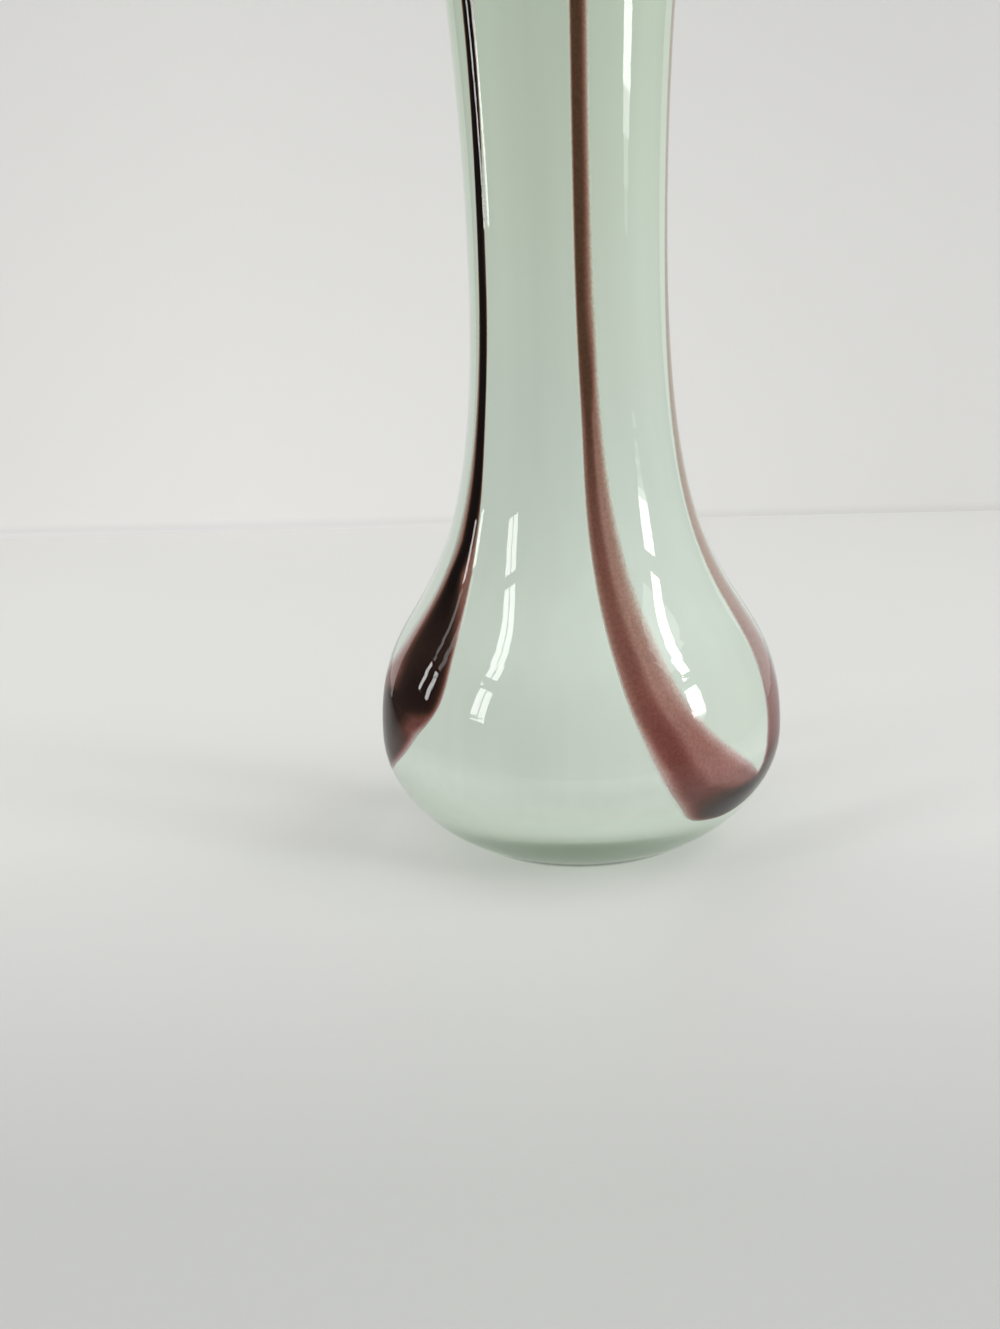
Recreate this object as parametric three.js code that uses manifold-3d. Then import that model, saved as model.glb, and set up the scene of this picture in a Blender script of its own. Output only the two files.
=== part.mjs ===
// Jack-in-the-pulpit vase of cased blown glass. Millimetres, +Z up.
// The origin is the middle of the foot, on the table. The low lip of the mouth faces -Y.
// Azimuth 0 is the front (-Y) and grows towards +X.
// A station is a place up the wall: 0 edge of the foot, 1 widest ring of the bulb, 2 waist,
// 3 top of the neck, 4 rim.

import * as THREE from 'three';
import { ParametricGeometry } from 'three/addons/geometries/ParametricGeometry.js';
import { mergeVertices } from 'three/addons/utils/BufferGeometryUtils.js';
import Module from 'manifold-3d';

// Outer skin, foot to neck
const footRadius = 24;
const bulbRadius = 48;
const bulbHeight = 26.4;
const waistRadius = 22.35;
const waistHeight = 134.8;
const neckTopRadius = 24.8;
const neckTopHeight = 190;
const cornerOutShare = 0.33;
const cornerUpShare = 0.54;
const shoulderRiseShare = 0.363;
const shoulderDropShare = 0.819;

// Mouth: a lip turned down in front, a hood drawn up to a soft point behind
const lipReach = 54.4;
const hoodReach = 56.7;
const sideReach = 60;
const lipHeight = 238;
const hoodHeight = 305;
const hoodPowerShare = 1.35;
const hoodPointShare = 0.16;
const hoodPointAngle = 24;
const lipTurnAngle = -24;
const hoodTurnAngle = 68;
const neckLeadShare = 0.62;
const rimLeadShare = 0.52;

// Layers of glass
const casingWall = 3.2;
const casingRimWall = 1.6;
const liningWall = 2.2;
const liningRimWall = 1.6;
const fusionGap = 0.3;
const footThickness = 12.5;
const lipFold = 3;
const pontilRadius = 13;
const pontilDepth = 1.4;
const pontilCurveShare = 0.6;

// Threads: lens sections let into the casing's inner face
const threadShare = 0.5;
const threadEdgeShare = 0.12;
const channelOverrun = 1;

// Each rung of a thread joins its two edges: azimuth and height of the edge that runs under the
// loop, then of the edge inside the loop. Heights are on the casing's seat. Over the top of the
// neck they run on into the mouth, which counts as 100 mm high all round.
const mouthRungHeight = 100;
const rightLoopRungs = [
  [4, 278, 15, 278],
  [4, 190, 15, 190],
  [3.6, 147, 15.4, 147],
  [3.8, 124, 16.6, 124],
  [5.2, 100, 17.8, 100],
  [5.8, 80, 20.8, 80],
  [8.6, 60, 25.4, 60],
  [12.2, 45, 30, 45],
  [16, 35, 38, 35],
  [22, 24, 50, 27.5],
  [34, 16.2, 58, 23],
  [52, 14.3, 61, 21.5],
  [68, 15.5, 62, 22.5],
  [80, 21, 63, 26.5],
  [85, 32, 64.3, 33],
  [85, 46, 65, 46],
  [86, 62, 67.2, 62],
  [86, 80, 69.4, 80],
  [87.5, 100, 72.5, 100],
  [89, 124, 77, 124],
  [90, 147, 79, 147],
  [89.5, 190, 78.5, 190],
  [89.5, 278, 78, 278],
];
const leftLoopRungs = [
  [-136, 278, -126, 278],
  [-136, 190, -126, 190],
  [-137, 147, -128, 147],
  [-138, 124, -128, 124],
  [-140, 85, -127.5, 85],
  [-142, 62, -126, 66],
  [-142, 46, -121, 56],
  [-136, 33, -115, 44],
  [-124, 24.5, -110, 36],
  [-107, 20, -107, 32],
  [-90, 19, -104, 30],
  [-75, 20.5, -101, 30.5],
  [-61, 25.2, -97, 33],
  [-50.8, 32.3, -91, 37],
  [-42.6, 40.4, -84, 43],
  [-42.2, 50, -77, 49],
  [-48, 66, -71, 66],
  [-53, 80, -70, 80],
  [-57.4, 100, -69, 100],
  [-57.3, 124, -67, 124],
  [-56.4, 147, -65, 147],
  [-51.3, 190, -62, 190],
  [-50, 278, -61, 278],
];
const tailRungs = [
  [149, 278, 160, 278],
  [149, 190, 160, 190],
  [150, 147, 160, 147],
  [150, 124, 161, 124],
  [150, 85, 164, 85],
  [149, 62, 168, 62],
  [149, 45, 170, 45],
  [152, 32, 170, 33],
  [157, 23, 168, 24],
];

// Fineness of the faces
const azimuthSteps = 36;
const cornerSteps = 5;
const shoulderSteps = 8;
const neckSteps = 4;
const mouthSteps = 8;
const lipSteps = 4;
const facetSag = 0.14;
const domeSteps = 3;
const seatSteps = 5;

const slopeShare = 1e-4;
const mergeShare = 1e-7;
const halvings = 24;

const deg = THREE.MathUtils.degToRad;
const lerp = THREE.MathUtils.lerp;

// How far the rim has risen from the lip towards the hood's point
function hoodShareAt(azimuth) {
  const turnedBack = (1 - Math.cos(azimuth)) / 2;
  const fromBack = Math.PI - Math.abs(Math.atan2(Math.sin(azimuth), Math.cos(azimuth)));
  const point = 1 / (1 + (fromBack / deg(hoodPointAngle)) ** 2);
  return (1 - hoodPointShare) * turnedBack ** hoodPowerShare + hoodPointShare * point;
}

// The mouth's section at one azimuth, from the top of the neck out to the rim
function mouthCurve(azimuth) {
  const risen = hoodShareAt(azimuth);
  const neckTop = new THREE.Vector2(neckTopRadius, neckTopHeight);
  const facingReach = lerp(lipReach, hoodReach, risen);
  const rim = new THREE.Vector2(
    lerp(facingReach, sideReach, Math.sin(azimuth) ** 2),
    lerp(lipHeight, hoodHeight, risen),
  );
  const climb = rim.y - neckTopHeight;
  const neckTurn = new THREE.Vector2(neckTopRadius - waistRadius, (neckTopHeight - waistHeight) / 2);
  const neckLead = neckTurn.setLength(neckLeadShare * climb);
  const turn = deg(lerp(lipTurnAngle, hoodTurnAngle, risen));
  const rimLead = new THREE.Vector2(Math.cos(turn), Math.sin(turn));
  rimLead.setLength(rimLeadShare * (rim.x - neckTopRadius) / Math.cos(turn / 2));
  return new THREE.CubicBezierCurve(
    neckTop,
    neckTop.clone().add(neckLead),
    rim.clone().sub(rimLead),
    rim,
  );
}

// The rounded corner between a floor and the widest ring, for the skin and each inner face
function cornerCurve(ringRadius, floorHeight) {
  const floorEdge = new THREE.Vector2(footRadius, floorHeight);
  const ring = new THREE.Vector2(ringRadius, bulbHeight);
  return new THREE.CubicBezierCurve(
    floorEdge,
    new THREE.Vector2(lerp(footRadius, ringRadius, cornerOutShare), floorHeight),
    new THREE.Vector2(ringRadius, lerp(bulbHeight, floorHeight, cornerUpShare)),
    ring,
  );
}

const shoulderCurve = new THREE.CubicBezierCurve(
  new THREE.Vector2(bulbRadius, bulbHeight),
  new THREE.Vector2(bulbRadius, lerp(bulbHeight, waistHeight, shoulderRiseShare)),
  new THREE.Vector2(waistRadius, lerp(waistHeight, bulbHeight, shoulderDropShare)),
  new THREE.Vector2(waistRadius, waistHeight),
);

const neckCurve = new THREE.QuadraticBezierCurve(
  new THREE.Vector2(waistRadius, waistHeight),
  new THREE.Vector2(waistRadius, (waistHeight + neckTopHeight) / 2),
  new THREE.Vector2(neckTopRadius, neckTopHeight),
);

function swing(section, azimuth) {
  return new THREE.Vector3(section.x * Math.sin(azimuth), -section.x * Math.cos(azimuth), section.y);
}

function axisPoint(height) {
  return new THREE.Vector3(0, 0, height);
}

function skinPoint(station, azimuth) {
  if (station < 1) return swing(cornerCurve(bulbRadius, 0).getPoint(station), azimuth);
  if (station < 2) return swing(shoulderCurve.getPoint(station - 1), azimuth);
  if (station < 3) return swing(neckCurve.getPoint(station - 2), azimuth);
  return swing(mouthCurve(azimuth).getPoint(station - 3), azimuth);
}

// Direction up the skin, with its length per station, and the direction out of it
function skinSlope(station, azimuth) {
  const low = Math.min(station, 4 - slopeShare);
  const up = skinPoint(low + slopeShare, azimuth).sub(skinPoint(low - slopeShare, azimuth));
  return up.divideScalar(2 * slopeShare);
}

function skinNormal(station, azimuth) {
  const around = skinPoint(station, azimuth + slopeShare).sub(skinPoint(station, azimuth - slopeShare));
  return around.cross(skinSlope(station, azimuth)).normalize();
}

// A point of the wall at a depth under the skin. Below the widest ring, the faces follow the
// thick foot: the floor of the face at casingWall lies at footThickness.
function wallPoint(station, azimuth, depth) {
  if (depth === 0) return skinPoint(station, azimuth);
  if (station < 1) {
    const floorHeight = footThickness + depth - casingWall;
    return swing(cornerCurve(bulbRadius - depth, floorHeight).getPoint(station), azimuth);
  }
  return skinPoint(station, azimuth).addScaledVector(skinNormal(station, azimuth), -depth);
}

function casingDepth(station) {
  return lerp(casingWall, casingRimWall, Math.max(station - 3, 0));
}

function liningDepth(station) {
  return casingDepth(station) + fusionGap;
}

function hollowDepth(station) {
  return liningDepth(station) + lerp(liningWall, liningRimWall, Math.max(station - 3, 0));
}

// Station at a height on the casing's seat
function stationAt(height) {
  if (height >= neckTopHeight) return 3 + (height - neckTopHeight) / mouthRungHeight;
  let low = 0;
  let high = 3;
  for (let count = 0; count < halvings; count += 1) {
    const middle = (low + high) / 2;
    if (wallPoint(middle, 0, casingWall).z < height) low = middle;
    else high = middle;
  }
  return (low + high) / 2;
}

// Station that lies a length below the rim
function belowRim(azimuth, length) {
  return 4 - length / skinSlope(4, azimuth).length();
}

function steps(from, to, count) {
  return Array.from({ length: count }, (_, index) => lerp(from, to, index / count));
}

function stationsUpTo(top) {
  return [
    ...steps(0, 1, cornerSteps),
    ...steps(1, 2, shoulderSteps),
    ...steps(2, 3, neckSteps),
    ...steps(3, top, mouthSteps),
    top,
  ];
}

// One run of points up or down a face of the wall
function faceRun(azimuth, top, depthAt) {
  return stationsUpTo(top).map((station) => wallPoint(station, azimuth, depthAt(station)));
}

// Closed surface from runs of points that all start at one pole and end at the other
function closedSurface(runs) {
  const around = runs.length;
  const along = runs[0].length - 1;
  const lookUp = (u, v, target) => {
    const run = runs[Math.round(u * around) % around];
    return target.copy(run[Math.round(v * along)]);
  };
  const grid = new ParametricGeometry(lookUp, around, along);
  grid.deleteAttribute('normal');
  grid.deleteAttribute('uv');
  const merged = mergeVertices(grid, mergeShare);
  const corners = Array.from(merged.index.array);
  const kept = [];
  for (let first = 0; first < corners.length; first += 3) {
    const [a, b, c] = corners.slice(first, first + 3);
    if (a !== b && b !== c && c !== a) kept.push(a, b, c);
  }
  merged.setIndex(kept);
  return merged;
}

function runsRound(count, runAt) {
  return Array.from({ length: count }, (_, index) => runAt(index / count));
}

// Clear casing: pontil hollow, foot, skin, rounded lip folded over the lining, seat, floor
function casingRun(turnShare) {
  const azimuth = 2 * Math.PI * turnShare;
  const pontilSide = pontilRadius * pontilCurveShare;
  const pontilRise = pontilDepth * (1 - pontilCurveShare ** 2);
  const halfLip = hollowDepth(4) / 2;
  const out = skinNormal(4, azimuth).multiplyScalar(halfLip);
  const up = skinSlope(4, azimuth).setLength(halfLip);
  const lipMiddle = wallPoint(4, azimuth, halfLip);
  const lip = steps(0, Math.PI, lipSteps).slice(1).map((turn) => lipMiddle.clone()
    .addScaledVector(out, Math.cos(turn))
    .addScaledVector(up, Math.sin(turn)));
  const ledge = belowRim(azimuth, lipFold);
  return [
    axisPoint(pontilDepth),
    swing(new THREE.Vector2(pontilSide, pontilRise), azimuth),
    swing(new THREE.Vector2(pontilRadius, 0), azimuth),
    ...faceRun(azimuth, 4, () => 0),
    ...lip,
    wallPoint(4, azimuth, hollowDepth(4)),
    wallPoint(ledge, azimuth, hollowDepth(ledge)),
    ...faceRun(azimuth, ledge, casingDepth).reverse(),
    axisPoint(footThickness),
  ];
}

// Opal lining: its outer face, its edge under the folded lip, its inner face, its floor
function liningRun(turnShare) {
  const azimuth = 2 * Math.PI * turnShare;
  const top = belowRim(azimuth, lipFold + fusionGap);
  return [
    axisPoint(footThickness + fusionGap),
    ...faceRun(azimuth, top, liningDepth),
    ...faceRun(azimuth, top, hollowDepth).reverse(),
    axisPoint(footThickness + fusionGap + liningWall),
  ];
}

// Amethyst thread between its two edge curves, with a domed outer face. Its inner face lies back
// from the seat by the facets' sag, so that no chord comes near the lining. Grown by the fusion gap
// and run out past the seat, the same shape is the channel that the thread lies in.
function threadSurface(rungs, growth, overrun) {
  const under = new THREE.SplineCurve(rungs.map((rung) => new THREE.Vector2(rung[0], rung[1])));
  const inside = new THREE.SplineCurve(rungs.map((rung) => new THREE.Vector2(rung[2], rung[3])));
  const edgePoint = (edge) => {
    const station = stationAt(edge.y);
    return wallPoint(station, deg(edge.x), casingDepth(station));
  };

  // Facets between two rungs that keep an edge's chords within the sag
  const facetsBetween = (curve, from, to) => {
    const at = (along) => edgePoint(curve.getPoint(along));
    const start = at(from);
    const finish = at(to);
    const bend = at(from + slopeShare).sub(start).angleTo(finish.clone().sub(at(to - slopeShare)));
    return Math.ceil(Math.sqrt(start.distanceTo(finish) * bend / (8 * facetSag)));
  };

  const places = [...steps(0, 1, rungs.length - 1), 1];
  const alongs = places.slice(1).flatMap((to, index) => {
    const from = places[index];
    return steps(from, to, Math.max(facetsBetween(under, from, to), facetsBetween(inside, from, to)));
  });
  const rows = alongs.length;

  const acrossPoint = (along, across, domed) => {
    const left = under.getPoint(along);
    const right = inside.getPoint(along);
    const width = edgePoint(left).distanceTo(edgePoint(right));
    const reach = across * (1 + 2 * growth / width);
    const place = new THREE.Vector2().lerpVectors(left, right, (reach + 1) / 2);
    const station = stationAt(place.y);
    const full = threadShare * casingDepth(station);
    const dome = full * lerp(1, threadEdgeShare, across ** 2) + growth;
    const depth = casingDepth(station) + (domed ? -dome : overrun);
    return wallPoint(station, deg(place.x), depth);
  };

  const sectionPoint = (along, turnShare) => {
    const index = Math.round(turnShare * (domeSteps + seatSteps));
    if (index <= domeSteps) return acrossPoint(along, 1 - 2 * index / domeSteps, true);
    return acrossPoint(along, 2 * (index - domeSteps - 1) / (seatSteps - 2) - 1, false);
  };

  const endShift = (end, inward) => {
    const pull = acrossPoint(end, 0, false).sub(acrossPoint(inward, 0, false));
    return pull.setLength(growth);
  };

  const startShift = endShift(0, slopeShare);
  const finishShift = endShift(1, 1 - slopeShare);
  const middle = (end) => acrossPoint(end, 0, true).lerp(acrossPoint(end, 0, false), 1 / 2);

  return closedSurface(runsRound(domeSteps + seatSteps, (turnShare) => {
    const run = [...alongs, 1].map((along) => sectionPoint(along, turnShare));
    run[0].add(startShift);
    run[rows].add(finishShift);
    return [middle(0).add(startShift), ...run, middle(1).add(finishShift)];
  }));
}

const wasm = await Module();
wasm.setup();

function solidFrom(geometry) {
  return new wasm.Manifold(new wasm.Mesh({
    numProp: 3,
    vertProperties: Float32Array.from(geometry.attributes.position.array),
    triVerts: Uint32Array.from(geometry.index.array),
  }));
}

function geometryFrom(solid) {
  const mesh = solid.getMesh();
  const geometry = new THREE.BufferGeometry();
  geometry.setAttribute('position', new THREE.BufferAttribute(mesh.vertProperties, 3));
  geometry.setIndex(new THREE.BufferAttribute(mesh.triVerts, 1));
  geometry.computeVertexNormals();
  return geometry;
}

const clearGlass = new THREE.MeshStandardMaterial({
  color: 0xc9d8c6, roughness: 0.04, metalness: 0, transparent: true, opacity: 0.35,
});
const opalGlass = new THREE.MeshStandardMaterial({ color: 0xcbd6cd, roughness: 0.12, metalness: 0 });
const amethystGlass = new THREE.MeshStandardMaterial({ color: 0x4a2530, roughness: 0.06, metalness: 0 });

const vase = new THREE.Group();

function addPiece(name, geometry, material) {
  const mesh = new THREE.Mesh(geometry, material);
  mesh.name = name;
  vase.add(mesh);
}

const threads = {
  amethyst_loop_right: rightLoopRungs,
  amethyst_loop_left: leftLoopRungs,
  amethyst_tail: tailRungs,
};

let casing = solidFrom(closedSurface(runsRound(azimuthSteps, casingRun)));
for (const rungs of Object.values(threads)) {
  casing = casing.subtract(solidFrom(threadSurface(rungs, fusionGap, channelOverrun)));
}
addPiece('clear_casing', geometryFrom(casing), clearGlass);
addPiece('opal_lining', closedSurface(runsRound(azimuthSteps, liningRun)), opalGlass);
for (const [name, rungs] of Object.entries(threads)) {
  addPiece(name, threadSurface(rungs, 0, -facetSag), amethystGlass);
}

export default vase;
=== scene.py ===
import bisect
import math

import bmesh
import bpy
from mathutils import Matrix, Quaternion, Vector


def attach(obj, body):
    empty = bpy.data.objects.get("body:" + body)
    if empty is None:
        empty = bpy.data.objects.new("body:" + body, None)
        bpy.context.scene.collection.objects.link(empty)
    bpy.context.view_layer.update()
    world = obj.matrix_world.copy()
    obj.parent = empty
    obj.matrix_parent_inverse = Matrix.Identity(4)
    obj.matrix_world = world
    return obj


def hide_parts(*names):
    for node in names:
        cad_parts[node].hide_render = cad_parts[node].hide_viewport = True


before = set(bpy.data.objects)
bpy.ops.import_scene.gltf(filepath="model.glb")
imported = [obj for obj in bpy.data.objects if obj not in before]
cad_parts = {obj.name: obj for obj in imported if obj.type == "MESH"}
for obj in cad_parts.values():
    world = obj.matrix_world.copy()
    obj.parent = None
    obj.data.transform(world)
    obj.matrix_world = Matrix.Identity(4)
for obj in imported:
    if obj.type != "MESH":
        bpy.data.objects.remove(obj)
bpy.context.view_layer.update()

# Camera. It stands in front of the vase, a little above the bulb, and looks down past the foot, so
# that the neck leaves the top of the picture. Azimuth 0 is the front (-Y) and grows towards +X.
mm = 0.001
deg = math.radians
photo_height = 1329
focal_pixels = 1250
sensor_side = 36
nearest_seen = 10 * mm
camera_distance = 294.1 * mm
camera_height = 114.8 * mm
camera_pitch = deg(14)
camera_yaw = deg(-3.681)
camera_roll = deg(-2.413)

camera_data = bpy.data.cameras.new("camera")
camera_data.sensor_fit = "VERTICAL"
camera_data.sensor_width = sensor_side
camera_data.sensor_height = sensor_side
camera_data.lens = sensor_side * focal_pixels / photo_height
camera_data.clip_start = nearest_seen
camera = bpy.data.objects.new("camera", camera_data)
sight = Vector((
    math.sin(camera_yaw) * math.cos(camera_pitch),
    math.cos(camera_yaw) * math.cos(camera_pitch),
    -math.sin(camera_pitch),
))
camera.rotation_mode = "QUATERNION"
camera.rotation_quaternion = sight.to_track_quat("-Z", "Y") @ Quaternion((0, 0, 1), camera_roll)
camera.location = (0, -camera_distance, camera_height)
bpy.context.scene.collection.objects.link(camera)
bpy.context.scene.camera = camera

# Opal lining. The first gather, blown of pale grey-green opal glass, holds the hollow. Its outer
# face is fused under the clear casing, and only its inner face meets the air.
foot_radius = 24 * mm
bulb_radius = 48 * mm
bulb_height = 26.4 * mm
waist_radius = 22.35 * mm
waist_height = 134.8 * mm
neck_top_radius = 24.8 * mm
neck_top_height = 190 * mm
corner_out_share = 0.33
corner_up_share = 0.54
shoulder_rise_share = 0.363
shoulder_drop_share = 0.819
lip_reach = 54.4 * mm
hood_reach = 56.7 * mm
side_reach = 60 * mm
lip_height = 238 * mm
hood_height = 305 * mm
hood_power = 1.35
hood_point_share = 0.16
hood_point_angle = deg(24)
lip_turn = deg(-24)
hood_turn = deg(68)
neck_lead_share = 0.62
rim_lead_share = 0.52
casing_wall = 3.2 * mm
casing_rim_wall = 1.6 * mm
lining_wall = 2.5 * mm
lining_rim_wall = 1.9 * mm
foot_thickness = 12.5 * mm
lip_fold = 3 * mm
pontil_radius = 13 * mm
pontil_depth = 1.4 * mm
slope_step = 1e-4
steps_round = 160
merge_distance = 0.001 * mm
axis_radius = 0.01 * mm
opal_clearness = 0.96
opal_bounce = 1


def mix(low, high, share):
    return low + (high - low) * share


def curve_point(points, share):
    while len(points) > 1:
        points = [start.lerp(end, share) for start, end in zip(points, points[1:])]
    return points[0]


def corner_curve(ring_radius, floor_height):
    return [
        Vector((foot_radius, floor_height)),
        Vector((mix(foot_radius, ring_radius, corner_out_share), floor_height)),
        Vector((ring_radius, mix(bulb_height, floor_height, corner_up_share))),
        Vector((ring_radius, bulb_height)),
    ]


shoulder_curve = [
    Vector((bulb_radius, bulb_height)),
    Vector((bulb_radius, mix(bulb_height, waist_height, shoulder_rise_share))),
    Vector((waist_radius, mix(waist_height, bulb_height, shoulder_drop_share))),
    Vector((waist_radius, waist_height)),
]
neck_curve = [
    Vector((waist_radius, waist_height)),
    Vector((waist_radius, (waist_height + neck_top_height) / 2)),
    Vector((neck_top_radius, neck_top_height)),
]


# The mouth's section turns from the low lip in front to the hood behind, which ends in a point.
def mouth_curve(azimuth):
    turned_back = (1 - math.cos(azimuth)) / 2
    from_back = math.pi - abs(math.atan2(math.sin(azimuth), math.cos(azimuth)))
    point = 1 / (1 + (from_back / hood_point_angle) ** 2)
    risen = (1 - hood_point_share) * turned_back ** hood_power + hood_point_share * point
    facing_reach = mix(lip_reach, hood_reach, risen)
    rim = Vector((
        mix(facing_reach, side_reach, math.sin(azimuth) ** 2),
        mix(lip_height, hood_height, risen),
    ))
    climb = rim.y - neck_top_height
    neck_top = neck_curve[2]
    neck_lead = (neck_top - neck_curve[1]).normalized() * neck_lead_share * climb
    turn = mix(lip_turn, hood_turn, risen)
    rim_lead = Vector((math.cos(turn), math.sin(turn)))
    rim_lead *= rim_lead_share * (rim.x - neck_top_radius) / math.cos(turn / 2)
    return [neck_top, neck_top + neck_lead, rim - rim_lead, rim]


def swing(section, azimuth):
    return Vector((section.x * math.sin(azimuth), -section.x * math.cos(azimuth), section.y))


# Stations up the wall: -1 middle of the floor, 0 edge of the foot, 1 widest ring of the bulb,
# 2 waist, 3 top of the neck, 4 rim.
def skin_point(station, azimuth):
    if station < 1:
        return swing(curve_point(corner_curve(bulb_radius, 0), station), azimuth)
    if station < 2:
        return swing(curve_point(shoulder_curve, station - 1), azimuth)
    if station < 3:
        return swing(curve_point(neck_curve, station - 2), azimuth)
    return swing(curve_point(mouth_curve(azimuth), station - 3), azimuth)


def skin_slope(station, azimuth):
    low = min(station, 4 - slope_step)
    rise = skin_point(low + slope_step, azimuth) - skin_point(low - slope_step, azimuth)
    return rise / (2 * slope_step)


def floor_point(station, azimuth, depth):
    radius = foot_radius * (1 + station)
    if depth:
        return swing(Vector((radius, foot_thickness + depth - casing_wall)), azimuth)
    hollow = pontil_depth * max(0, 1 - (radius / pontil_radius) ** 2)
    return swing(Vector((radius, hollow)), azimuth)


# A point of the wall, a depth under the skin. Lift runs it on past the rim, and short is how far
# below the rim the top row of its face lies.
def wall_point(azimuth, station, depth, lift=0, short=0):
    if station <= 0:
        return floor_point(station, azimuth, depth)
    if station < 1:
        floor_height = foot_thickness + depth - casing_wall if depth else 0
        return swing(curve_point(corner_curve(bulb_radius - depth, floor_height), station), azimuth)
    if station > 3 and short:
        station = mix(3, 4 - short / skin_slope(4, azimuth).length, station - 3)
    slope = skin_slope(station, azimuth)
    around = skin_point(station, azimuth + slope_step) - skin_point(station, azimuth - slope_step)
    outward = around.cross(slope).normalized()
    return skin_point(station, azimuth) - outward * depth + slope.normalized() * lift


def casing_depth(station):
    return mix(casing_wall, casing_rim_wall, max(station - 3, 0))


def hollow_depth(station):
    return casing_depth(station) + mix(lining_wall, lining_rim_wall, max(station - 3, 0))


def stations():
    rows_from = ((-1, 8), (0, 14), (1, 34), (2, 16), (3, 32))
    return [start + row / rows for start, rows in rows_from for row in range(rows)] + [4]


# One section of the wall is spun round the axis, and each point then drawn out to the section at
# its own azimuth, which only the mouth changes.
def spun_wall(name, rows):
    mesh = bmesh.new()
    row_of = mesh.verts.layers.int.new("row")
    last = None
    for index, row in enumerate(rows):
        vert = mesh.verts.new(wall_point(math.pi / 2, *row))
        vert[row_of] = index
        if last:
            mesh.edges.new((last, vert))
        last = vert
    bmesh.ops.spin(
        mesh, geom=mesh.verts[:] + mesh.edges[:], cent=(0, 0, 0), axis=(0, 0, 1),
        angle=2 * math.pi, steps=steps_round, use_merge=True,
    )
    bmesh.ops.remove_doubles(mesh, verts=mesh.verts[:], dist=merge_distance)
    for vert in mesh.verts:
        if vert.co.xy.length > axis_radius:
            vert.co = wall_point(math.atan2(vert.co.x, -vert.co.y), *rows[vert[row_of]])
    mesh.verts.layers.int.remove(row_of)
    bmesh.ops.recalc_face_normals(mesh, faces=mesh.faces[:])
    return piece_from(name, mesh)


def piece_from(name, mesh):
    for face in mesh.faces:
        face.smooth = True
    data = bpy.data.meshes.new(name)
    mesh.to_mesh(data)
    mesh.free()
    piece = bpy.data.objects.new(name, data)
    bpy.context.scene.collection.objects.link(piece)
    return piece


def new_material(name):
    material = bpy.data.materials.new(name)
    material.use_nodes = True
    return material, material.node_tree.nodes, material.node_tree.links


def noise(nodes, links, scale, detail, stretch=(1, 1, 1)):
    place = nodes.new("ShaderNodeTexCoord")
    spread = nodes.new("ShaderNodeMapping")
    spread.inputs["Scale"].default_value = stretch
    clouds = nodes.new("ShaderNodeTexNoise")
    clouds.inputs["Scale"].default_value = scale
    clouds.inputs["Detail"].default_value = detail
    links.new(place.outputs["Object"], spread.inputs["Vector"])
    links.new(spread.outputs["Vector"], clouds.inputs["Vector"])
    return clouds.outputs["Fac"]


def ramp(nodes, links, factor, stops):
    colours = nodes.new("ShaderNodeValToRGB")
    band = colours.color_ramp
    while len(band.elements) < len(stops):
        band.elements.new(0.5)
    for element, (place, colour) in zip(band.elements, stops):
        element.position = place
        element.color = (*colour, 1)
    links.new(factor, colours.inputs["Fac"])
    return colours.outputs["Color"]


def grey(level):
    return (level, level, level)


def along_axis(nodes, links, axis, low, high):
    place = nodes.new("ShaderNodeTexCoord")
    parts = nodes.new("ShaderNodeSeparateXYZ")
    share = nodes.new("ShaderNodeMapRange")
    share.inputs["From Min"].default_value = low
    share.inputs["From Max"].default_value = high
    links.new(place.outputs["Object"], parts.inputs["Vector"])
    links.new(parts.outputs[axis], share.inputs["Value"])
    return share.outputs["Result"]


def tinted(nodes, links, colour, *tints):
    for tint in tints:
        blend = nodes.new("ShaderNodeMix")
        blend.data_type = "RGBA"
        blend.blend_type = "MULTIPLY"
        blend.inputs["Factor"].default_value = 1
        links.new(colour, blend.inputs["A"])
        links.new(tint, blend.inputs["B"])
        colour = blend.outputs["Result"]
    return colour


# Glass lets a share of the lamps' light through it, which its shadow and the bounced light show.
def let_light_pass(nodes, links, surface, shadow_share, bounce_share):
    light_path = nodes.new("ShaderNodeLightPath")
    passing = nodes.new("ShaderNodeBsdfTransparent")
    for ray, share in (("Is Shadow Ray", shadow_share), ("Is Diffuse Ray", bounce_share)):
        amount = nodes.new("ShaderNodeMath")
        amount.operation = "MULTIPLY"
        amount.inputs[1].default_value = share
        blend = nodes.new("ShaderNodeMixShader")
        links.new(light_path.outputs[ray], amount.inputs[0])
        links.new(amount.outputs["Value"], blend.inputs["Fac"])
        links.new(surface, blend.inputs[1])
        links.new(passing.outputs["BSDF"], blend.inputs[2])
        surface = blend.outputs["Shader"]
    links.new(surface, nodes["Material Output"].inputs["Surface"])


lining_rows = [(station, casing_depth(station), 0, lip_fold) for station in stations()]
lining_rows += [(station, hollow_depth(station), 0, lip_fold) for station in reversed(stations())]
opal_lining = spun_wall("opal_lining_glass", lining_rows)

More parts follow.
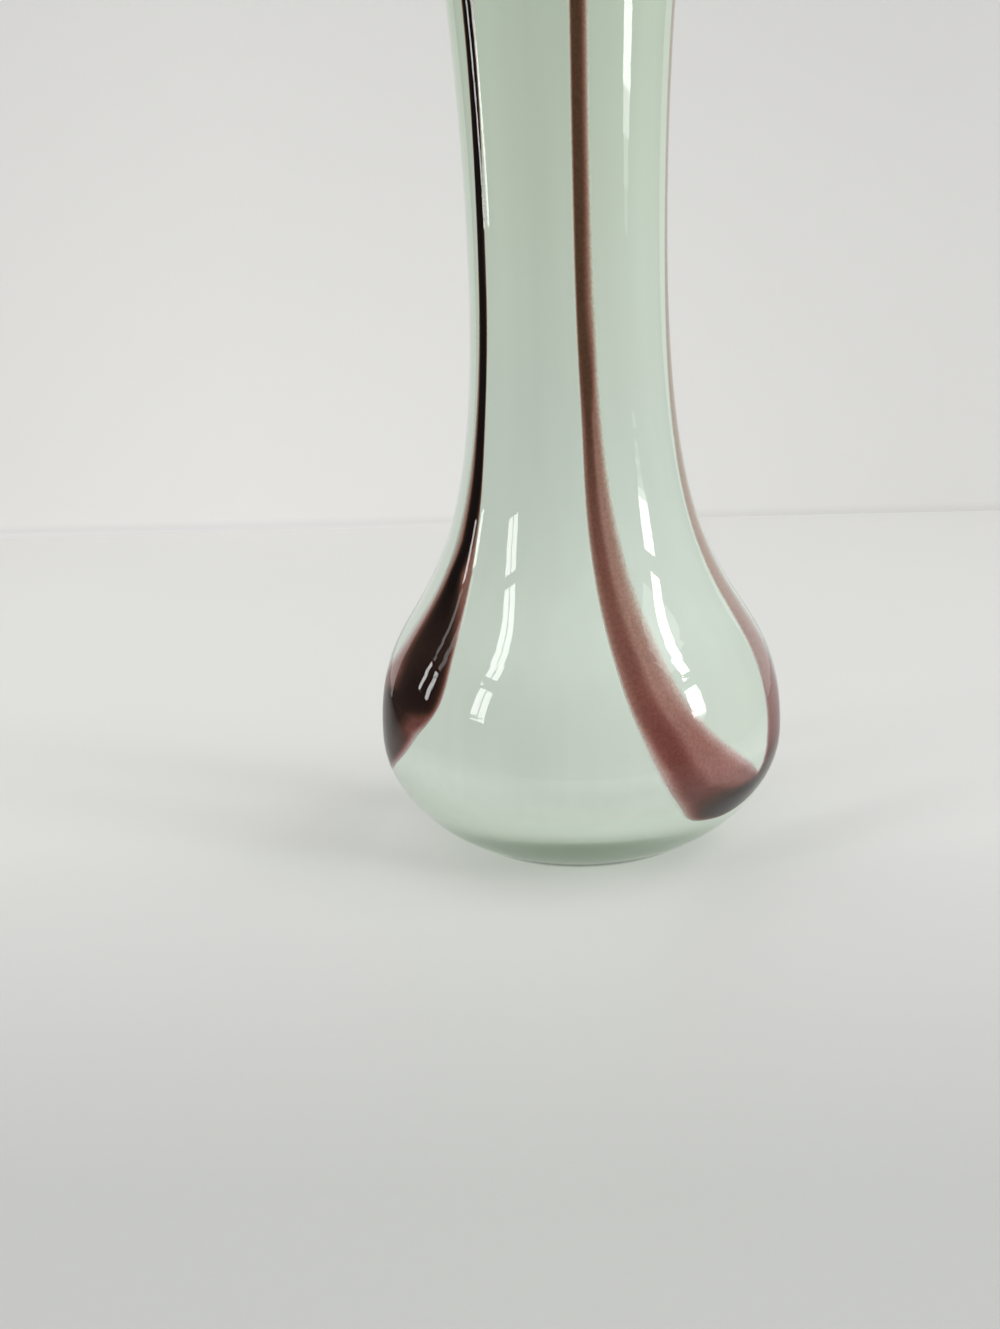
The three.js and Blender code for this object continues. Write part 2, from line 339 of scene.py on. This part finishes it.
# Seen through the casing: painted light makes it paler low down, standing in for the light that
# the solid foot throws up into it. Above that it grows darker and greener up the neck, with soft
# clouds and the fine lines of the drawing.
opal, nodes, links = new_material("opal glass")
body = nodes["Principled BSDF"]
milk = ramp(nodes, links, along_axis(nodes, links, "Z", 0, hood_height), (
    (0.042, (0.98, 1.0, 0.98)),
    (0.055, (0.88, 0.93, 0.88)),
    (0.09, (0.70, 0.76, 0.70)),
    (0.15, (0.61, 0.67, 0.615)),
    (0.3, (0.60, 0.66, 0.612)),
    (0.42, (0.59, 0.655, 0.588)),
    (0.62, (0.525, 0.593, 0.507)),
    (0.9, (0.50, 0.57, 0.475)),
))
clouds = ramp(nodes, links, noise(nodes, links, scale=14, detail=3, stretch=(1, 1, 0.3)), (
    (0.3, (0.965, 0.965, 0.95)),
    (0.7, grey(1.02)),
))
drawn = ramp(nodes, links, noise(nodes, links, scale=260, detail=2, stretch=(1, 1, 0.02)), (
    (0.35, grey(0.985)),
    (0.65, grey(1.01)),
))
links.new(tinted(nodes, links, milk, clouds, drawn), body.inputs["Base Color"])
# Painted light: a faint glow low down, though the opal is no lamp, for the light that the foot
# throws up.
painted_glow_low = ramp(nodes, links, along_axis(nodes, links, "Z", 0, hood_height), (
    (0.0415, grey(0)),
    (0.044, (0.1, 0.11, 0.1)),
    (0.06, (0.06, 0.065, 0.06)),
    (0.1, grey(0)),
))
links.new(painted_glow_low, body.inputs["Emission Color"])
body.inputs["Emission Strength"].default_value = 1
body.inputs["Roughness"].default_value = 0.35
body.inputs["Specular IOR Level"].default_value = 0
let_light_pass(nodes, links, body.outputs["BSDF"], opal_clearness, opal_bounce)
opal_lining.data.materials.append(opal)

# The face round the hollow and its floor meet the air, so they are glossy.
opal_inside, nodes, links = new_material("opal glass inside")
body = nodes["Principled BSDF"]
milk = ramp(nodes, links, noise(nodes, links, scale=14, detail=3, stretch=(1, 1, 0.3)), (
    (0.3, (0.55, 0.62, 0.53)),
    (0.7, (0.60, 0.66, 0.58)),
))
links.new(milk, body.inputs["Base Color"])
body.inputs["Roughness"].default_value = 0.06
let_light_pass(nodes, links, body.outputs["BSDF"], opal_clearness, opal_bounce)
opal_lining.data.materials.append(opal_inside)
for polygon in opal_lining.data.polygons:
    faces_axis = polygon.normal.xy.dot(polygon.center.xy) < 0
    on_floor = polygon.center.z < bulb_height and polygon.normal.z > 0
    polygon.material_index = int(faces_axis or on_floor)

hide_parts("opal_lining")
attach(opal_lining, "root")

# Amethyst threads. Soft canes of amethyst glass were laid on the opal gather and dragged, so that
# their arms run up the neck and join in loops low on the bulb. The clear casing holds them down.
# A rung joins a thread's two edges by azimuth and height: the one under the loop, the one inside.
thread_thickness_share = 0.5
thread_edge_share = 0.12
thread_sink = 0.15 * mm
steps_across = 32
steps_a_rung = 10
seat_rows = 100
mouth_rung_height = 100 * mm
edge_blur = 0.15
clear_below = 0.35
deepest = 5
right_loop_rungs = (
    (4, 278, 15, 278), (4, 190, 15, 190), (3.6, 147, 15.4, 147), (3.8, 124, 16.6, 124),
    (5.2, 100, 17.8, 100), (5.8, 80, 20.8, 80), (8.6, 60, 25.4, 60), (12.2, 45, 30, 45),
    (16, 35, 38, 35), (22, 24, 50, 27.5), (34, 16.2, 58, 23), (52, 14.3, 61, 21.5),
    (68, 15.5, 62, 22.5), (80, 21, 63, 26.5), (85, 32, 64.3, 33), (85, 46, 65, 46),
    (86, 62, 67.2, 62), (86, 80, 69.4, 80), (87.5, 100, 72.5, 100), (89, 124, 77, 124),
    (90, 147, 79, 147), (89.5, 190, 78.5, 190), (89.5, 278, 78, 278),
)
left_loop_rungs = (
    (-136, 278, -126, 278), (-136, 190, -126, 190), (-137, 147, -128, 147),
    (-138, 124, -128, 124), (-140, 85, -127.5, 85), (-142, 62, -126, 66), (-142, 46, -121, 56),
    (-136, 33, -115, 44), (-124, 24.5, -110, 36), (-107, 20, -107, 32), (-90, 19, -104, 30),
    (-75, 20.5, -101, 30.5), (-61, 25.2, -97, 33), (-50.8, 32.3, -91, 37), (-42.6, 40.4, -84, 43),
    (-42.2, 50, -77, 49), (-48, 66, -71, 66), (-53, 80, -70, 80), (-57.4, 100, -69, 100),
    (-57.3, 124, -67, 124), (-56.4, 147, -65, 147), (-51.3, 190, -62, 190), (-50, 278, -61, 278),
)
tail_rungs = (
    (149, 278, 160, 278), (149, 190, 160, 190), (150, 147, 160, 147), (150, 124, 161, 124),
    (150, 85, 164, 85), (149, 62, 168, 62), (149, 45, 170, 45), (152, 32, 170, 33),
    (157, 23, 168, 24),
)
# How deep the colour is, from a rung's number on: the film, then the darker core with its place and
# half width across, then the share of the half width over which the under and inside edges fade.
right_loop_depths = (
    (0, 2.7, 0, 0, 1, 0.3, 1), (2, 2.7, 0, 0, 1, 0.3, 1.1), (3, 2.7, 0, 0, 1, 0.25, 1.4),
    (4, 1.6, 1.1, -0.4, 0.32, 0.16, 0.9), (5, 1.35, 0.95, -0.47, 0.33, 0.13, 0.8),
    (6, 1.3, 0.8, -0.48, 0.33, 0.13, 0.85), (7, 1.25, 0.85, -0.47, 0.33, 0.15, 0.8),
    (8, 1.35, 0.85, -0.4, 0.36, 0.3, 0.6), (8.7, 1.3, 0.85, -0.45, 0.3, 0.45, 0.6),
    (9.3, 1.3, 0.8, -0.5, 0.35, 0.4, 0.5), (9.6, 1.4, 1, -0.3, 0.45, 0.35, 0.4),
    (10, 1.5, 1.8, -0.2, 0.55, 0.3, 0.35), (10.4, 1.6, 2.6, -0.15, 0.7, 0.2, 0.25),
    (11, 1.8, 2.8, -0.1, 0.8, 0.15, 0.3), (12, 1.8, 2.4, 0, 0.8, 0.3, 0.3),
    (13, 1.5, 1.1, 0.3, 0.6, 0.6, 0.25), (14.5, 1.15, 0, 0, 1, 1.2, 0.2),
    (17, 0.95, 0, 0, 1, 1.5, 0.2), (22, 0.9, 0, 0, 1, 1.4, 0.25),
)
left_loop_depths = (
    (0, 1.5, 2, 0, 0.6, 0.3, 0.5), (10.5, 2.8, 0, 0, 0.5, 0.18, 0.3),
    (12, 3.4, 0.2, -0.1, 0.5, 0.2, 0.25), (12.6, 3, 1, -0.1, 0.5, 0.2, 0.25),
    (13, 2, 1.9, -0.1, 0.5, 0.2, 0.3), (13.4, 2.3, 1.6, -0.1, 0.5, 0.1, 0.35),
    (13.8, 1.8, 2.6, -0.5, 0.6, 0.06, 0.4), (14.3, 1.6, 2.9, -0.5, 0.65, 0.06, 0.5),
    (15, 2.2, 1.8, -0.35, 0.68, 0.08, 0.9), (16, 1.7, 3.6, -0.1, 0.37, 0.08, 1),
    (16.5, 1.6, 3.4, -0.38, 0.4, 0.1, 1.2), (17.4, 1.6, 3.8, -0.55, 0.5, 0.08, 1.2),
    (18.2, 1.5, 3.8, -0.55, 0.52, 0.06, 1.2), (19.4, 1.5, 3.8, -0.35, 0.6, 0.06, 1.1),
    (22, 1.5, 3.8, -0.3, 0.7, 0.06, 0.9),
)
tail_depths = ((0, 1.5, 2, 0, 0.5, 0.5, 0.5), (8, 1.5, 0, 0, 0.5, 0.5, 0.5))

seat_heights = [wall_point(0, row / seat_rows, casing_wall).z for row in range(3 * seat_rows + 1)]


def station_at(height):
    if height >= neck_top_height:
        return 3 + (height - neck_top_height) / mouth_rung_height
    row = bisect.bisect_right(seat_heights, height) - 1
    past = (height - seat_heights[row]) / (seat_heights[row + 1] - seat_heights[row])
    return (row + past) / seat_rows


# The edges run smoothly through their rungs' ends, on a spline through each four in turn.
def rung_at(rungs, place):
    index = min(int(place), len(rungs) - 2)
    step = place - index
    before, start, end, after = (
        Vector(rungs[min(max(near, 0), len(rungs) - 1)]) for near in range(index - 1, index + 3)
    )
    return 0.5 * (
        2 * start + (end - before) * step + (2 * before - 5 * start + 4 * end - after) * step ** 2
        + (3 * start - before - 3 * end + after) * step ** 3
    )


def depths_at(depths, place):
    later = max(1, next((index for index, row in enumerate(depths) if row[0] >= place), 1))
    low, high = depths[later - 1], depths[later]
    return Vector(low).lerp(Vector(high), (place - low[0]) / (high[0] - low[0]))


def eased(share):
    share = min(max(share, 0), 1)
    return share * share * (3 - 2 * share)


def colour_depth(depths, place, across):
    _, film, core, middle, width, under_fade, inside_fade = depths_at(depths, place)
    film *= eased((1 + across) / under_fade) * eased((1 - across) / inside_fade)
    core *= eased((1 + across) / edge_blur) * eased((1 - across) / edge_blur)
    return film + core * math.exp(-((across - middle) / width) ** 4)


def thread_point(rungs, place, across, rise):
    rung = rung_at(rungs, place)
    azimuth = deg(mix(rung[0], rung[2], (1 + across) / 2))
    station = station_at(mix(rung[1], rung[3], (1 + across) / 2) * mm)
    return wall_point(azimuth, station, casing_depth(station) - rise(station, across))


def dome_rise(station, across):
    return thread_thickness_share * casing_depth(station) * mix(1, thread_edge_share, across ** 2)


def seat_rise(station, across):
    return -thread_sink


def laid_thread(name, rungs, depths):
    mesh = bmesh.new()
    depth_of = mesh.verts.layers.float.new("depth")
    rung_steps = len(rungs) - 1
    bmesh.ops.create_grid(
        mesh, x_segments=steps_across, y_segments=steps_a_rung * rung_steps, size=1,
    )
    dome = mesh.verts[:]
    copied = bmesh.ops.duplicate(mesh, geom=mesh.verts[:] + mesh.edges[:] + mesh.faces[:])
    seat = [item for item in copied["geom"] if isinstance(item, bmesh.types.BMVert)]
    open_edges = [edge for edge in mesh.edges if edge.is_boundary]
    for verts, rise in ((dome, dome_rise), (seat, seat_rise)):
        for vert in verts:
            across, place = vert.co.x, (1 + vert.co.y) / 2 * rung_steps
            vert[depth_of] = colour_depth(depths, place, across)
            vert.co = thread_point(rungs, place, across, rise)
    bmesh.ops.bridge_loops(mesh, edges=open_edges)
    bmesh.ops.recalc_face_normals(mesh, faces=mesh.faces[:])
    return piece_from(name, mesh)


# The colour runs from clear film to a nearly black core by the depth that each point carries.
# Painted light makes it warmer low on the bulb and greener up the neck, and a painted reflection
# makes it cooler at both limbs. It is streaked and grained like drawn glass.
amethyst, nodes, links = new_material("amethyst glass")
body = nodes["Principled BSDF"]
depth = nodes.new("ShaderNodeAttribute")
depth.attribute_name = "depth"
share = nodes.new("ShaderNodeMapRange")
share.inputs["From Max"].default_value = deepest
links.new(depth.outputs["Fac"], share.inputs["Value"])
cane = ramp(nodes, links, share.outputs["Result"], (
    (0.0, (0.58, 0.59, 0.54)),
    (0.075, (0.51, 0.45, 0.40)),
    (0.17, (0.385, 0.27, 0.23)),
    (0.27, (0.30, 0.165, 0.135)),
    (0.34, (0.24, 0.115, 0.092)),
    (0.43, (0.18, 0.072, 0.057)),
    (0.54, (0.088, 0.041, 0.026)),
    (0.7, (0.035, 0.017, 0.012)),
    (1.0, (0.006, 0.0025, 0.002)),
))
streaks = ramp(nodes, links, noise(nodes, links, scale=120, detail=3, stretch=(1, 1, 0.1)), (
    (0.3, grey(0.92)),
    (0.7, grey(1.05)),
))
grains = ramp(nodes, links, noise(nodes, links, scale=1500, detail=1), (
    (0.35, (0.9, 0.88, 0.88)),
    (0.65, (1.07, 1.08, 1.08)),
))
# Painted light: warmer low on the bulb, greener up the neck.
painted_light_by_height = ramp(nodes, links, along_axis(nodes, links, "Z", 0, hood_height), (
    (0.08, (1.12, 0.9, 0.96)),
    (0.2, (1, 1.03, 1.01)),
    (0.42, (0.95, 1.07, 1)),
))
# Painted reflection: a cooler, bluer tint at both limbs.
painted_reflection_at_limbs = ramp(nodes, links, along_axis(nodes, links, "X", -bulb_radius, bulb_radius), (
    (0.0, (0.88, 1.02, 1.16)),
    (0.17, (0.96, 1.01, 1.05)),
    (0.28, grey(1)),
    (0.8, grey(1)),
    (1.0, (0.88, 1.01, 1.16)),
))
cane = tinted(nodes, links, cane, streaks, grains, painted_light_by_height, painted_reflection_at_limbs)
links.new(cane, body.inputs["Base Color"])
body.inputs["Roughness"].default_value = 0.3
body.inputs["Specular IOR Level"].default_value = 0
fade = nodes.new("ShaderNodeMapRange")
fade.interpolation_type = "SMOOTHSTEP"
fade.inputs["From Min"].default_value = 0
fade.inputs["From Max"].default_value = clear_below
links.new(depth.outputs["Fac"], fade.inputs["Value"])
links.new(fade.outputs["Result"], body.inputs["Alpha"])
let_light_pass(nodes, links, body.outputs["BSDF"], opal_clearness, opal_bounce)

for name, rungs, depths in (
    ("amethyst_loop_right", right_loop_rungs, right_loop_depths),
    ("amethyst_loop_left", left_loop_rungs, left_loop_depths),
    ("amethyst_tail", tail_rungs, tail_depths),
):
    thread = laid_thread(name + "_glass", rungs, depths)
    thread.data.materials.append(amethyst)
    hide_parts(name)
    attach(thread, "root")

# Clear casing. The last gather of clear glass, faintly green where it is thick, covers the threads,
# makes the solid foot with its ground hollow, and folds over the opal's edge as a polished lip.
# Shaping left the shoulder a little flat and the neck above it pressed in, as reflections show.
casing_sink = 1 * mm
lip_steps = 10
half_lip = hollow_depth(4) / 2
ripple_depth = 0.5 * mm
flattening = 3.6 * mm
shaped_height = 110 * mm

# The inner face lies a little inside the opal, so that no air shows between the two.
casing_rows = [(station, 0) for station in stations()]
for step in range(1, lip_steps + 1):
    turn = math.pi * step / lip_steps
    casing_rows.append((4, half_lip * (1 - math.cos(turn)), half_lip * math.sin(turn)))
casing_rows.append((4, hollow_depth(4), 0, lip_fold / 2))
casing_rows.append((4, hollow_depth(4), 0, lip_fold))
casing_rows += [
    (station, casing_depth(station) + casing_sink, 0, lip_fold + casing_sink)
    for station in reversed(stations())
]
clear_casing = spun_wall("clear_casing_glass", casing_rows)

clear, nodes, links = new_material("clear glass")
glass = nodes["Principled BSDF"]
glass.inputs["Base Color"].default_value = (1, 1, 1, 1)
glass.inputs["Transmission Weight"].default_value = 1
glass.inputs["IOR"].default_value = 1.5
glass.inputs["Roughness"].default_value = 0.02
ripple = nodes.new("ShaderNodeBump")
ripple.inputs["Strength"].default_value = 0.06
ripple.inputs["Distance"].default_value = ripple_depth
waves = noise(nodes, links, scale=60, detail=1, stretch=(1, 1, 0.4))
links.new(waves, ripple.inputs["Height"])
pressed = nodes.new("ShaderNodeBump")
pressed.inputs["Distance"].default_value = flattening
out_by_height = ramp(nodes, links, along_axis(nodes, links, "Z", 0, shaped_height), (
    (0.162, grey(1)), (0.216, grey(0.93)), (0.28, grey(0.7)), (0.364, grey(0.31)),
    (0.393, grey(0.2)), (0.427, grey(0.09)), (0.462, grey(0.02)), (0.49, grey(0)),
    (0.66, grey(0)), (0.72, grey(0.03)), (0.82, grey(0.12)), (0.89, grey(0.15)),
))
links.new(out_by_height, pressed.inputs["Height"])
links.new(ripple.outputs["Normal"], pressed.inputs["Normal"])
links.new(pressed.outputs["Normal"], glass.inputs["Normal"])
let_light_pass(nodes, links, glass.outputs["BSDF"], shadow_share=1, bounce_share=1)
green = nodes.new("ShaderNodeVolumeAbsorption")
green.inputs["Color"].default_value = (0.66, 0.9, 0.63, 1)
green.inputs["Density"].default_value = 14
links.new(green.outputs["Volume"], nodes["Material Output"].inputs["Volume"])
clear_casing.data.materials.append(clear)
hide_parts("clear_casing")
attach(clear_casing, "root")

# Table and wall. A pale painted table top runs back to a pale wall, which it meets behind the vase.
# Painted shade makes the table darker close round the foot, more widely where it is seen through
# the glass, and towards its two ends where the glass mirrors it.
table_drop = 0.1 * mm
table_front = 335 * mm
wall_distance = 575 * mm
wall_height = 520 * mm
wall_turn = deg(-4.6)
sheet_width = 1360 * mm
sheet_steps = 8
painted_length = 1000 * mm
painted_width = 800 * mm
shaded_reach = 40 * mm
grain_height = 0.2 * mm


def flat_sheet(name, width, depth):
    mesh = bmesh.new()
    bmesh.ops.create_grid(mesh, x_segments=sheet_steps, y_segments=sheet_steps, size=0.5)
    bmesh.ops.scale(mesh, vec=(width, depth, 1), verts=mesh.verts[:])
    return piece_from(name, mesh)


# A pale paint with painted shade along and across the sheet, and a faint random cloudy tone.
def pale_paint_and_shade(nodes, links, paint_and_shade_stops_along, shade_stops_across):
    half_length, half_width = painted_length / 2, painted_width / 2
    along = along_axis(nodes, links, "Y", -half_length, half_length)
    across = along_axis(nodes, links, "X", -half_width, half_width)
    clouds = ramp(nodes, links, noise(nodes, links, scale=3, detail=2), (
        (0.3, grey(0.985)),
        (0.7, grey(1)),
    ))
    paint_and_shade_along = ramp(nodes, links, along, paint_and_shade_stops_along)
    painted_shade_across = ramp(nodes, links, across, shade_stops_across)
    return tinted(nodes, links, paint_and_shade_along, painted_shade_across, clouds)


def finish_paint(nodes, links, paint, roughness):
    body = nodes["Principled BSDF"]
    links.new(paint, body.inputs["Base Color"])
    body.inputs["Roughness"].default_value = roughness
    body.inputs["Specular IOR Level"].default_value = 0.3
    grain = nodes.new("ShaderNodeBump")
    grain.inputs["Strength"].default_value = 0.15
    grain.inputs["Distance"].default_value = grain_height
    links.new(noise(nodes, links, scale=900, detail=2), grain.inputs["Height"])
    links.new(grain.outputs["Normal"], body.inputs["Normal"])


def shaded_round(nodes, links, centre, stops):
    place = nodes.new("ShaderNodeTexCoord")
    reach = nodes.new("ShaderNodeVectorMath")
    reach.operation = "DISTANCE"
    reach.inputs[1].default_value = centre
    share = nodes.new("ShaderNodeMapRange")
    share.inputs["From Max"].default_value = shaded_reach
    links.new(place.outputs["Object"], reach.inputs[0])
    links.new(reach.outputs["Value"], share.inputs["Value"])
    return ramp(nodes, links, share.outputs["Result"], stops)


def by_ray(nodes, links, ray, otherwise, colour):
    light_path = nodes.new("ShaderNodeLightPath")
    choice = nodes.new("ShaderNodeMix")
    choice.data_type = "RGBA"
    links.new(light_path.outputs[ray], choice.inputs["Factor"])
    links.new(otherwise, choice.inputs["A"])
    links.new(colour, choice.inputs["B"])
    return choice.outputs["Result"]


table = flat_sheet("table_top", sheet_width, table_front + wall_distance)
table.location = (0, (wall_distance - table_front) / 2, -table_drop)
table_paint, nodes, links = new_material("table paint")
# Painted shade: the table darker towards the front and towards the right.
paint = pale_paint_and_shade(nodes, links, (
    (0.24, (0.55, 0.56, 0.545)), (0.37, (0.735, 0.74, 0.725)), (0.95, (0.84, 0.84, 0.825)),
), (
    (0.1, grey(1)), (0.9, (0.88, 0.88, 0.885)),
))
# Painted shade: a dark disc under the foot, reaching a little past its edge.
painted_shade_round_foot = shaded_round(nodes, links, -table.location, (
    (0.61, grey(0.4)), (0.665, grey(0.45)), (0.695, grey(1)),
))
# Painted shade, tinted green, where the table is seen through the glass.
painted_shade_through_glass = shaded_round(nodes, links, -table.location, (
    (0.55, (0.9, 0.9, 0.88)), (0.61, (0.64, 0.72, 0.61)), (0.72, (0.66, 0.74, 0.62)),
    (0.85, (0.6, 0.62, 0.55)), (1, (0.92, 0.92, 0.88)),
))
shade = by_ray(nodes, links, "Is Transmission Ray", painted_shade_round_foot, painted_shade_through_glass)
paint = tinted(nodes, links, paint, shade)
# Painted shade in reflections: the table darker towards its two ends.
painted_shade_of_ends = ramp(nodes, links, along_axis(nodes, links, "X", -sheet_width / 2, sheet_width / 2), (
    (0.05, grey(0.1)), (0.3, grey(0.5)), (0.42, grey(0.7)), (0.47, grey(0.95)),
    (0.53, grey(0.95)), (0.58, grey(0.7)), (0.7, grey(0.5)), (0.95, grey(0.1)),
))
mirrored_with_painted_shade = tinted(nodes, links, paint, painted_shade_of_ends)
paint = by_ray(nodes, links, "Is Glossy Ray", paint, mirrored_with_painted_shade)
finish_paint(nodes, links, paint, roughness=0.5)
table.data.materials.append(table_paint)

wall = flat_sheet("wall", sheet_width, wall_height)
wall.rotation_euler = (math.pi / 2, 0, wall_turn)
wall.location = (0, wall_distance, wall_height / 2 - 2 * table_drop)
wall_paint, nodes, links = new_material("wall paint")
# Painted shade: a dark line at the foot of the wall, and the wall darker upwards and to the right.
paint = pale_paint_and_shade(nodes, links, (
    (0.24, (0.78, 0.78, 0.77)), (0.245, (0.875, 0.875, 0.865)), (0.75, (0.63, 0.63, 0.625)),
), (
    (0.2, grey(1)), (0.8, grey(0.87)),
))
finish_paint(nodes, links, paint, roughness=0.8)
wall.data.materials.append(wall_paint)

# Light. Windows with bars stand close by on the right, the left and behind on the left, and a
# broad lamp overhead and the room's pale walls give the rest.
window_distance = 700 * mm
# A pane's azimuth, the heights of its bottom and top and its width in millimetres, and its glow.
window_panes = (
    ("window_right_low_1", 69, 190, 205, 50, 1.2),
    ("window_right_low_2", 69, 205, 221, 72, 2.2),
    ("window_right_low_3", 69, 221, 236, 100, 5),
    ("window_right_pane_1", 69, 236, 395, 118, 11),
    ("window_right_pane_2", 71, 470, 760, 90, 11),
    ("window_left_pane_1a", -56.3, 272, 486, 54, 9),
    ("window_left_pane_2a", -56.3, 548, 790, 54, 9),
    ("window_left_pane_1b", -61.5, 272, 486, 54, 9),
    ("window_left_pane_2b", -61.5, 548, 790, 54, 9),
    ("window_rear_pane_1a", -96.5, 196, 330, 38, 7.5),
    ("window_rear_pane_2a", -96.5, 350, 620, 38, 1.6),
    ("window_rear_pane_1b", -104.5, 196, 330, 26, 7.5),
    ("window_rear_pane_2b", -104.5, 350, 620, 26, 1.6),
)
overhead_place = Vector((750, -100, 1150)) * mm
overhead_side = 900 * mm
overhead_glow = 2
room_colour = (1, 0.99, 0.975, 1)
room_glow = 0.74
mirrored_room_glow = 0.05


def lamp(name, place, target, width, height, glow):
    light = bpy.data.lights.new(name, "AREA")
    light.shape = "RECTANGLE"
    light.size = width
    light.size_y = height
    light.energy = glow * math.pi * width * height
    holder = bpy.data.objects.new(name, light)
    holder.location = place
    holder.rotation_mode = "QUATERNION"
    holder.rotation_quaternion = (target - place).to_track_quat("-Z", "Y")
    holder.visible_camera = False
    bpy.context.scene.collection.objects.link(holder)


for name, azimuth, bottom, top, width, glow in window_panes:
    place = swing(Vector((window_distance, (bottom + top) / 2 * mm)), deg(azimuth))
    lamp(name, place, Vector((0, 0, place.z)), width * mm, (top - bottom) * mm, glow)
lamp("overhead", overhead_place, Vector((0, 0, 0)), overhead_side, overhead_side, overhead_glow)

world = bpy.data.worlds.new("room")
world.use_nodes = True
bpy.context.scene.world = world
nodes, links = world.node_tree.nodes, world.node_tree.links
light_path = nodes.new("ShaderNodeLightPath")
glow = nodes.new("ShaderNodeMapRange")
glow.inputs["To Min"].default_value = room_glow
glow.inputs["To Max"].default_value = mirrored_room_glow
links.new(light_path.outputs["Is Glossy Ray"], glow.inputs["Value"])
links.new(glow.outputs["Result"], nodes["Background"].inputs["Strength"])
nodes["Background"].inputs["Color"].default_value = room_colour

bpy.context.scene.view_settings.view_transform = "Standard"
